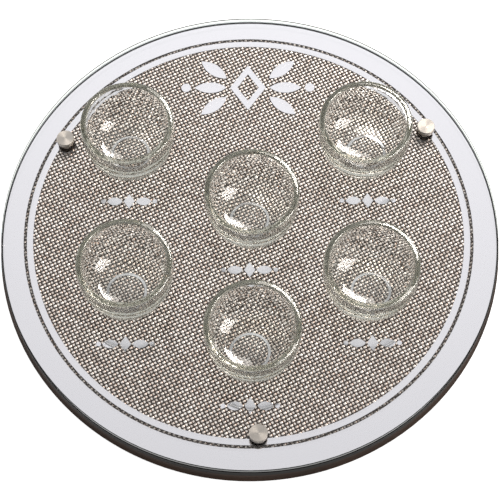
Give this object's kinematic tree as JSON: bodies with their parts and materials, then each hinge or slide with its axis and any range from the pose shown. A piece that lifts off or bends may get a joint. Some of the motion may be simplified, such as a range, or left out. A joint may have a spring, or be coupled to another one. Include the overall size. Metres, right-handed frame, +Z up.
{
  "type": "seder plate",
  "caption": "Round glass plate with a mirrored rim over a woven metallic sheet on a dark board, with loose clear glass bowls standing on silvered rings.",
  "frame": {"origin": "on the table under the middle of the plate", "axes": "+Z up, +Y away from the reader towards the title ornament, +X to the reader's right"},
  "size_m": [0.4044, 0.4044, 0.0697],
  "materials": {
    "board_wood": "dark stained, satin lacquer",
    "metallic_weave": "plain weave of metallised yarn",
    "plate_glass": "clear float glass, polished edge",
    "silvering": "mirror silver behind glass",
    "cap_metal": "lathe turned, satin",
    "washer_rubber": "matte",
    "bush_plastic": "moulded",
    "screw_steel": "zinc plated",
    "foot_rubber": "matte",
    "bowl_glass": "clear pressed soda-lime glass"
  },
  "bodies": {
    "plate": {"base_board": "board_wood", "weave_sheet": "metallic_weave", "glass_plate": "plate_glass", "silver_rim_band": "silvering", "silver_inner_ring": "silvering", "silver_place_rings": "silvering", "silver_title_ornament": "silvering", "silver_place_ornaments": "silvering", "cap_right": "cap_metal", "cap_washer_right": "washer_rubber", "glass_bush_right": "bush_plastic", "clamp_screw_right": "screw_steel", "cap_left": "cap_metal", "cap_washer_left": "washer_rubber", "glass_bush_left": "bush_plastic", "clamp_screw_left": "screw_steel", "cap_front": "cap_metal", "cap_washer_front": "washer_rubber", "glass_bush_front": "bush_plastic", "clamp_screw_front": "screw_steel", "foot_1": "foot_rubber", "foot_2": "foot_rubber", "foot_3": "foot_rubber", "foot_4": "foot_rubber"},
    "bowl_upper_left": {"bowl_upper_left": "bowl_glass"},
    "bowl_upper_right": {"bowl_upper_right": "bowl_glass"},
    "bowl_centre": {"bowl_centre": "bowl_glass"},
    "bowl_lower_left": {"bowl_lower_left": "bowl_glass"},
    "bowl_lower_right": {"bowl_lower_right": "bowl_glass"},
    "bowl_front": {"bowl_front": "bowl_glass"}
  },
  "joints": [
    {"name": "bowl_upper_left_lift", "type": "slide", "parent": "plate", "child": "bowl_upper_left", "axis": [0, 0, 1], "range_m": [0, 0.06]},
    {"name": "bowl_upper_right_lift", "type": "slide", "parent": "plate", "child": "bowl_upper_right", "axis": [0, 0, 1], "range_m": [0, 0.06]},
    {"name": "bowl_centre_lift", "type": "slide", "parent": "plate", "child": "bowl_centre", "axis": [0, 0, 1], "range_m": [0, 0.06]},
    {"name": "bowl_lower_left_lift", "type": "slide", "parent": "plate", "child": "bowl_lower_left", "axis": [0, 0, 1], "range_m": [0, 0.06]},
    {"name": "bowl_lower_right_lift", "type": "slide", "parent": "plate", "child": "bowl_lower_right", "axis": [0, 0, 1], "range_m": [0, 0.06]},
    {"name": "bowl_front_lift", "type": "slide", "parent": "plate", "child": "bowl_front", "axis": [0, 0, 1], "range_m": [0, 0.06]}
  ]
}
